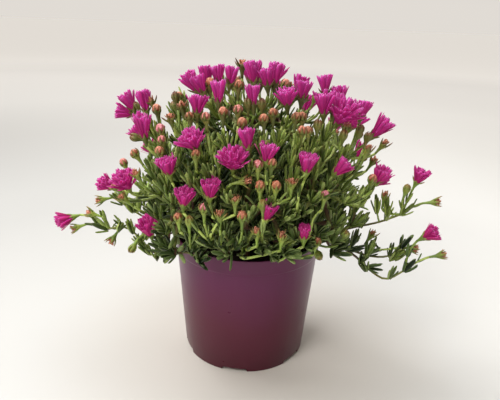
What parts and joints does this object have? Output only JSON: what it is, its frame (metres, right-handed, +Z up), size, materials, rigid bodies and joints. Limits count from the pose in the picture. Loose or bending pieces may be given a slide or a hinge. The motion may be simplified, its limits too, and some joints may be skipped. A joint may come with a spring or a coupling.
{
  "type": "potted ice plant",
  "caption": "Flowering ice plant with fine upright leaves and shaving-brush flowers in a round plastic nursery pot.",
  "frame": {"origin": "centre of the pot's foot, on the surface it stands on", "axes": "+Z up, -Y towards the side that the picture shows, +X to the right of that side"},
  "size_m": [0.3093, 0.1942, 0.244],
  "materials": {
    "pot_plastic": "satin",
    "potting_soil": "rough",
    "leaves_and_stems": "soft satin",
    "petals": "soft satin"
  },
  "bodies": {
    "root": {"bloom_01": "petals", "bloom_02": "petals", "bloom_03": "petals", "bloom_04": "petals", "bloom_05": "petals", "bloom_06": "petals", "bloom_07": "petals", "bloom_08": "petals", "bloom_09": "petals", "bloom_10": "petals", "bloom_11": "petals", "bloom_12": "petals", "bloom_13": "petals", "bloom_14": "petals", "bloom_15": "petals", "bloom_16": "petals", "bloom_17": "petals", "bloom_18": "petals", "bloom_19": "petals", "bloom_20": "petals", "bloom_21": "petals", "bloom_22": "petals", "bloom_23": "petals", "bloom_24": "petals", "bloom_25": "petals", "bloom_26": "petals", "bloom_27": "petals", "bloom_28": "petals", "bloom_29": "petals", "bloom_30": "petals", "bloom_31": "petals", "bloom_32": "petals", "bloom_33": "petals", "bloom_34": "petals", "bloom_35": "petals", "bloom_36": "petals", "bloom_37": "petals", "bloom_38": "petals", "bloom_39": "petals", "bloom_40": "petals", "bloom_41": "petals", "bloom_42": "petals", "bloom_43": "petals", "bloom_44": "petals", "bloom_45": "petals", "bloom_46": "petals", "bloom_47": "petals", "bloom_48": "petals", "bloom_49": "petals", "pot": "pot_plastic", "soil": "potting_soil", "stem_back": "leaves_and_stems", "stem_back_left": "leaves_and_stems", "stem_back_right": "leaves_and_stems", "stem_front": "leaves_and_stems", "stem_front_left": "leaves_and_stems", "stem_front_right": "leaves_and_stems", "stem_left": "leaves_and_stems", "stem_right": "leaves_and_stems", "stem_top": "leaves_and_stems"}
  },
  "joints": []
}
